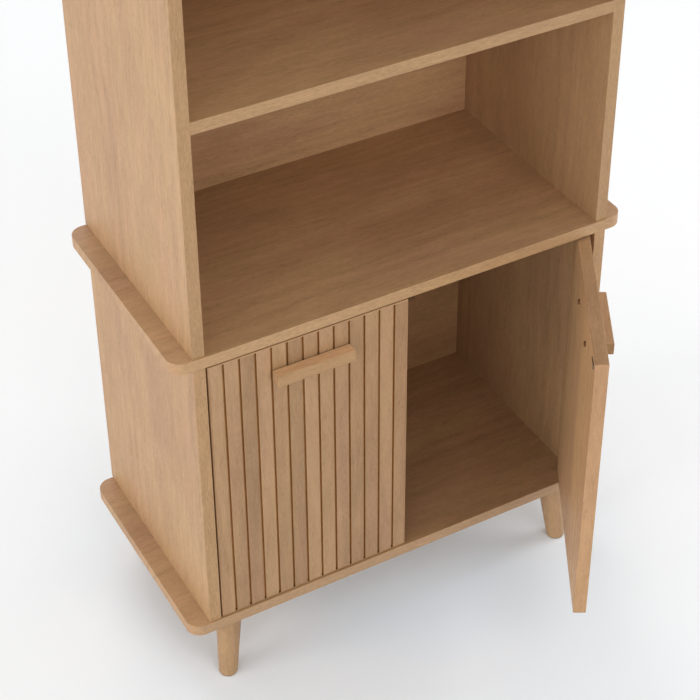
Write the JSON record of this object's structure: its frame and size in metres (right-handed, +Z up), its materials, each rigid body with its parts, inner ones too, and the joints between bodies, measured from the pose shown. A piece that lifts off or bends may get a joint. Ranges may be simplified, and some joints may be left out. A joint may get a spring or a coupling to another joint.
{
  "type": "bookcase with cabinet doors",
  "caption": "Tall oak bookcase with open shelves above a cabinet that has slatted pin-hinged doors with bar handles, standing on splayed tapered legs.",
  "frame": {"origin": "on the floor, at the middle of the rectangle the bookcase covers as it stands, left door shut and right door open at 60 degrees", "axes": "+X to the right seen from the front, +Y from front to back, +Z up"},
  "size_m": [0.72, 0.6146, 1.73],
  "materials": {
    "oak_board": "satin oak veneer, grain along the width",
    "oak_side": "satin oak veneer, upright grain",
    "oak_back": "satin oak-faced sheet, grain along the width",
    "oak_slat": "satin solid oak, upright grain",
    "oak_core": "satin oak veneer, upright grain",
    "oak_edging": "satin oak edging",
    "oak_handle": "satin solid oak, grain along the bar",
    "oak_leg": "satin solid oak, grain along the leg",
    "birch_dowel": "plain fluted birch",
    "zinc_steel": "zinc-plated, satin",
    "bracket_steel": "zinc-plated, satin",
    "strike_steel": "dark grey, satin",
    "bronzed_screw": "brown, satin",
    "catch_plastic": "dark brown, matte",
    "magnet_grey": "dull grey",
    "bush_nylon": "dark brown, matte",
    "felt_pad": "brown felt"
  },
  "bodies": {
    "carcass": {"bottom_board": "oak_board", "middle_board": "oak_board", "top_board": "oak_board", "lower_shelf": "oak_board", "upper_shelf": "oak_board", "cabinet_side_left": "oak_side", "cabinet_side_right": "oak_side", "hutch_side_left": "oak_side", "hutch_side_right": "oak_side", "cabinet_back": "oak_back", "hutch_back": "oak_back", "leg_front_left": "oak_leg", "leg_front_right": "oak_leg", "leg_rear_left": "oak_leg", "leg_rear_right": "oak_leg", "leg_bolts": "zinc_steel", "leg_inserts": "zinc_steel", "foot_pads": "felt_pad", "hutch_dowels": "birch_dowel", "cabinet_dowels": "birch_dowel", "shelf_dowels": "birch_dowel", "carcass_screws": "zinc_steel", "back_nails": "zinc_steel", "pivot_bushes": "bush_nylon", "catch_housings": "catch_plastic", "catch_magnets": "magnet_grey", "catch_screws": "zinc_steel", "wall_brackets": "bracket_steel", "wall_bracket_screws": "zinc_steel"},
    "left_door": {"left_door_panel": "oak_core", "left_door_slats": "oak_slat", "left_door_edging": "oak_edging", "left_handle": "oak_handle", "left_handle_screws": "bronzed_screw", "left_pivot_pins": "zinc_steel", "left_strike_plate": "strike_steel", "left_strike_screw": "bronzed_screw"},
    "right_door": {"right_door_panel": "oak_core", "right_door_slats": "oak_slat", "right_door_edging": "oak_edging", "right_handle": "oak_handle", "right_handle_screws": "bronzed_screw", "right_pivot_pins": "zinc_steel", "right_strike_plate": "strike_steel", "right_strike_screw": "bronzed_screw"}
  },
  "joints": [
    {"name": "left_door_hinge", "type": "hinge", "parent": "carcass", "child": "left_door", "pos_m": [-0.2993, -0.04571, 0.37425], "axis": [0, 0, -1], "range_deg": [0, 110]},
    {"name": "right_door_hinge", "type": "hinge", "parent": "carcass", "child": "right_door", "pos_m": [0.2993, -0.04571, 0.37425], "axis": [0, 0, 1], "range_deg": [-60, 50]}
  ]
}
